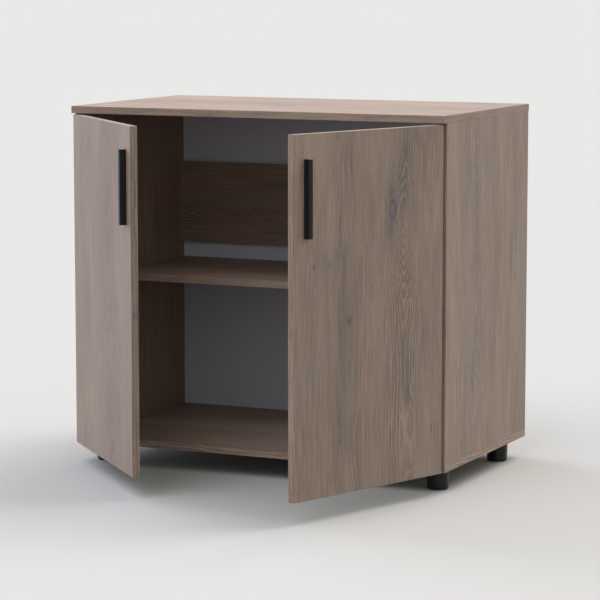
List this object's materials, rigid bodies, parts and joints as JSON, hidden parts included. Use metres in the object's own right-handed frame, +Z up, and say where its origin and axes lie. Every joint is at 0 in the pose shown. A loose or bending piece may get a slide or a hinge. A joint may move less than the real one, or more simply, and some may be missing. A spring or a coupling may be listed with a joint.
{
  "type": "two-door cabinet",
  "caption": "Low free-standing cabinet in greyish oak laminate with hinged doors, black bar handles, an inner shelf, a back rail, a white back and round black legs.",
  "frame": {"origin": "on the floor, under the middle of the body's width and depth", "axes": "+Z up, +X to the right seen from the front, +Y towards the back; the closed doors face -Y"},
  "size_m": [0.9, 0.9305, 0.815],
  "materials": {
    "oak_board": "laminated board, matt greyish oak print with a fine pore texture",
    "oak_edge_band": "thin matt edge band with the same oak print",
    "white_hardboard": "thin hardboard, pale grey-white lacquer",
    "black_handle": "matt black powder coat on an extruded profile",
    "black_plastic": "moulded black plastic, half gloss",
    "grey_pad": "dark soft pad",
    "nickel_steel": "pressed steel, nickel plated",
    "zinc_steel": "zinc-plated steel",
    "beech_dowel": "plain beech",
    "clear_bumper": "soft clear bumper"
  },
  "bodies": {
    "root": {"top_panel": "oak_board", "bottom_panel": "oak_board", "left_side_panel": "oak_board", "right_side_panel": "oak_board", "shelf": "oak_board", "back_rail": "oak_board", "top_edge_bands": "oak_edge_band", "bottom_edge_bands": "oak_edge_band", "side_edge_bands": "oak_edge_band", "shelf_edge_band": "oak_edge_band", "back_rail_edge_bands": "oak_edge_band", "back_sheet": "white_hardboard", "back_nails": "zinc_steel", "shelf_pins": "zinc_steel", "cam_locks": "zinc_steel", "cam_bolts": "zinc_steel", "body_screws": "zinc_steel", "leg_plate_screws": "zinc_steel", "dowels": "beech_dowel", "leg_plates": "black_plastic", "front_left_leg": "black_plastic", "front_right_leg": "black_plastic", "rear_left_leg": "black_plastic", "rear_right_leg": "black_plastic", "leg_pads": "grey_pad", "right_hinge_arms": "nickel_steel", "right_hinge_plates": "nickel_steel", "right_hinge_arm_pins": "zinc_steel", "right_hinge_arm_screws": "zinc_steel", "right_hinge_plate_screws": "zinc_steel", "left_hinge_arms": "nickel_steel", "left_hinge_plates": "nickel_steel", "left_hinge_arm_pins": "zinc_steel", "left_hinge_arm_screws": "zinc_steel", "left_hinge_plate_screws": "zinc_steel"},
    "right_door": {"right_door": "oak_board", "right_door_edge_bands": "oak_edge_band", "right_door_bumpers": "clear_bumper", "right_handle": "black_handle", "right_handle_screws": "zinc_steel", "right_hinge_cups": "nickel_steel", "right_hinge_cup_screws": "zinc_steel", "right_hinge_cup_pins": "zinc_steel"},
    "right_arm_links": {"right_hinge_arm_links": "nickel_steel", "right_hinge_joint_pins": "zinc_steel"},
    "right_cup_links": {"right_hinge_cup_links": "nickel_steel"},
    "left_door": {"left_door": "oak_board", "left_door_edge_bands": "oak_edge_band", "left_door_bumpers": "clear_bumper", "left_handle": "black_handle", "left_handle_screws": "zinc_steel", "left_hinge_cups": "nickel_steel", "left_hinge_cup_screws": "zinc_steel", "left_hinge_cup_pins": "zinc_steel"},
    "left_arm_links": {"left_hinge_arm_links": "nickel_steel", "left_hinge_joint_pins": "zinc_steel"},
    "left_cup_links": {"left_hinge_cup_links": "nickel_steel"}
  },
  "joints": [
    {"name": "right_door_swing", "type": "hinge", "parent": "root", "child": "right_door", "pos_m": [0.442, -0.257, 0.4225], "axis": [0, 0, 1], "range_deg": [-70, 35]},
    {"name": "right_arm_link_swing", "type": "hinge", "parent": "root", "child": "right_arm_links", "pos_m": [0.419, -0.2296, 0.4225], "axis": [0, 0, 1], "range_deg": [-70, 35]},
    {"name": "right_cup_link_swing", "type": "hinge", "parent": "right_door", "child": "right_cup_links", "pos_m": [0.42704, -0.27178, 0.4225], "axis": [0, 0, 1], "range_deg": [-35, 70]},
    {"name": "left_door_swing", "type": "hinge", "parent": "root", "child": "left_door", "pos_m": [-0.442, -0.257, 0.4225], "axis": [0, 0, -1], "range_deg": [-45, 60]},
    {"name": "left_arm_link_swing", "type": "hinge", "parent": "root", "child": "left_arm_links", "pos_m": [-0.419, -0.2296, 0.4225], "axis": [0, 0, -1], "range_deg": [-45, 60]},
    {"name": "left_cup_link_swing", "type": "hinge", "parent": "left_door", "child": "left_cup_links", "pos_m": [-0.4222, -0.26407, 0.4225], "axis": [0, 0, -1], "range_deg": [-60, 45]}
  ],
  "couplings": [
    {"joint": "right_arm_link_swing", "follows": "right_door_swing", "ratio": 1},
    {"joint": "right_cup_link_swing", "follows": "right_door_swing", "ratio": -1},
    {"joint": "left_arm_link_swing", "follows": "left_door_swing", "ratio": 1},
    {"joint": "left_cup_link_swing", "follows": "left_door_swing", "ratio": -1}
  ]
}
